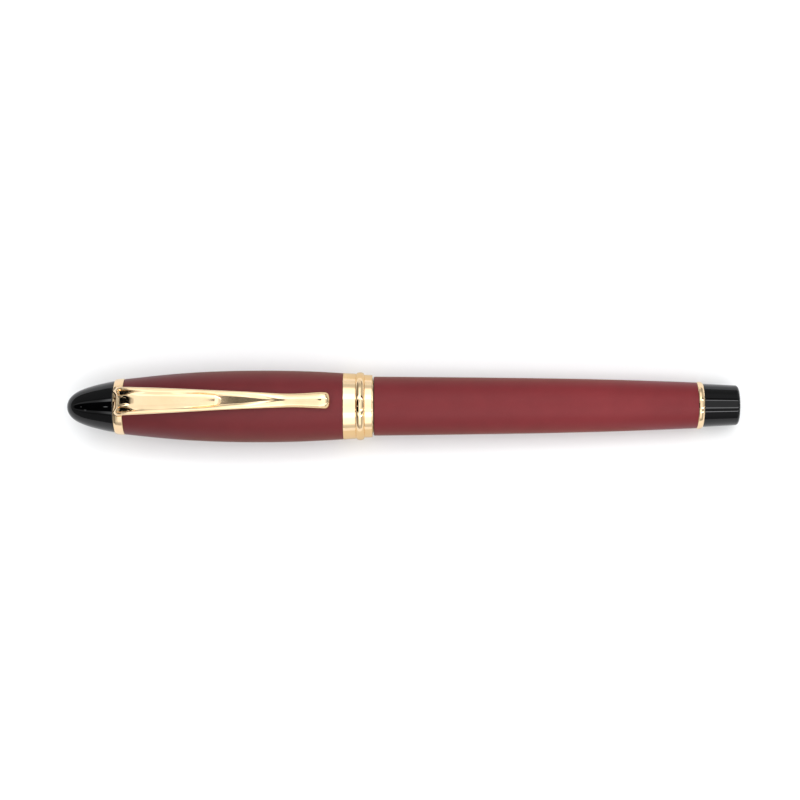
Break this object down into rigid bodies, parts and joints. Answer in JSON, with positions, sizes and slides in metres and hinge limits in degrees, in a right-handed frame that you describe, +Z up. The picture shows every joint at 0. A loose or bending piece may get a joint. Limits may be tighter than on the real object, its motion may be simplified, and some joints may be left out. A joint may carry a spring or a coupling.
{
  "type": "fountain pen",
  "caption": "Capped fountain pen with a bulging snap cap, bullet finial, sprung pocket clip, raised cap band, tapered barrel, trim rings, nib section and screw-piston converter.",
  "frame": {"origin": "centre of the barrel's flat tail face, on the pen's axis", "axes": "+X along the pen out of the tail, so the cap's finial points to -X; +Z up through the clip; +Y completes the right-handed frame"},
  "size_m": [0.138, 0.0146, 0.0166],
  "materials": {
    "lacquer": "satin burgundy lacquer with a fine grain",
    "black_gloss": "polished black resin",
    "black_matte": "moulded black plastic",
    "gold": "polished gold plate",
    "brass": "turned brass",
    "tip_alloy": "polished hard alloy",
    "clear": "clear plastic",
    "grey": "moulded grey plastic"
  },
  "bodies": {
    "barrel": {"barrel_tube": "lacquer", "barrel_insert": "brass", "tail_ring": "gold", "tail_plug": "black_gloss"},
    "trim_ring": {"section_ring": "gold"},
    "thread_sleeve": {"section_thread": "brass"},
    "section": {"section_grip": "black_gloss", "nib_housing": "black_matte", "feed": "black_matte", "nib": "gold", "nib_tip": "tip_alloy"},
    "inner_cap": {"cap_liner": "black_matte"},
    "cap": {"cap_finial": "black_gloss", "finial_stud": "brass", "clip_ring": "gold", "cap_tube": "lacquer", "cap_band": "gold"},
    "clip": {"clip": "gold"},
    "converter": {"converter_mouth": "grey", "converter_tube": "clear", "converter_guide": "black_matte", "converter_collar": "gold"},
    "knob": {"knob_spindle": "black_matte", "converter_knob": "black_gloss"},
    "piston": {"piston_rod": "grey", "piston_seal": "black_matte"}
  },
  "joints": [
    {"name": "section_withdraw", "type": "slide", "parent": "barrel", "child": "trim_ring", "axis": [-1, 0, 0], "range_m": [0, 0.06]},
    {"name": "section_advance", "type": "slide", "parent": "trim_ring", "child": "thread_sleeve", "axis": [-1, 0, 0], "range_m": [0, 0.0032]},
    {"name": "section_unscrew", "type": "hinge", "parent": "thread_sleeve", "child": "section", "pos_m": [-0.0865, 0, 0], "axis": [-1, 0, 0], "range_deg": [-10, 1460]},
    {"name": "cap_pull", "type": "slide", "parent": "section", "child": "inner_cap", "axis": [-1, 0, 0], "range_m": [0, 0.06]},
    {"name": "cap_turn", "type": "hinge", "parent": "inner_cap", "child": "cap", "pos_m": [-0.1, 0, 0], "axis": [-1, 0, 0], "continuous": true},
    {"name": "clip_lift", "type": "hinge", "parent": "cap", "child": "clip", "pos_m": [-0.12695, 0, 0.0062], "axis": [0, -1, 0], "range_deg": [0, 5], "stiffness_Nm_per_rad": 0.05},
    {"name": "converter_pull", "type": "slide", "parent": "section", "child": "converter", "axis": [1, 0, 0], "range_m": [0, 0.0052]},
    {"name": "knob_turn", "type": "hinge", "parent": "converter", "child": "knob", "pos_m": [-0.03, 0, 0], "axis": [1, 0, 0], "range_deg": [-10, 2900]},
    {"name": "piston_slide", "type": "slide", "parent": "converter", "child": "piston", "axis": [-1, 0, 0], "range_m": [0, 0.0208]}
  ],
  "couplings": [
    {"joint": "section_unscrew", "follows": "section_advance", "rad_per_m": 7854},
    {"joint": "knob_turn", "follows": "piston_slide", "rad_per_m": 2416.6}
  ]
}
